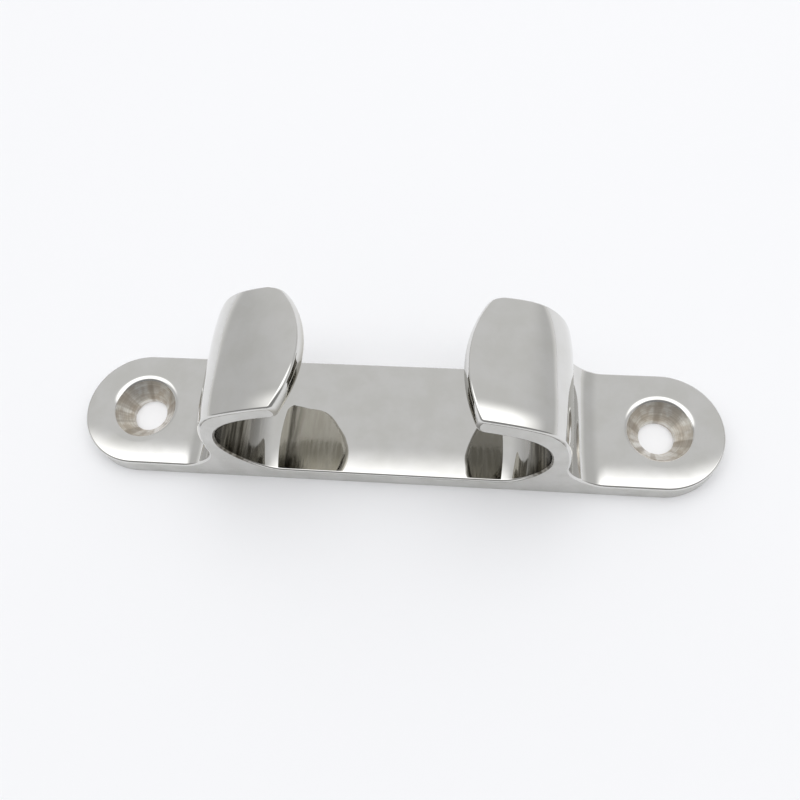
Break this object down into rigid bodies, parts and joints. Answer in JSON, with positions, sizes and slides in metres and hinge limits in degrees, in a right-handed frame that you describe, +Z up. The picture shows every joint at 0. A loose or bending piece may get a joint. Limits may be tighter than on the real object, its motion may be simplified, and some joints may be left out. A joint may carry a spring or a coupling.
{
  "type": "straight fairlead",
  "caption": "Open rope fairlead with inward hooked horns on a round-ended plate with countersunk screw holes.",
  "frame": {"origin": "centre of the flat underside of the plate", "axes": "+X along the plate towards the right horn, +Y across the plate towards the back, +Z up out of the deck"},
  "size_m": [0.115, 0.0216, 0.0322],
  "materials": {
    "polished_plate": "mirror-polished stainless steel, satin ground sides",
    "polished_horn": "mirror-polished stainless steel, satin ground ends"
  },
  "bodies": {
    "root": {"base_plate": "polished_plate", "left_horn": "polished_horn", "right_horn": "polished_horn"}
  },
  "joints": []
}
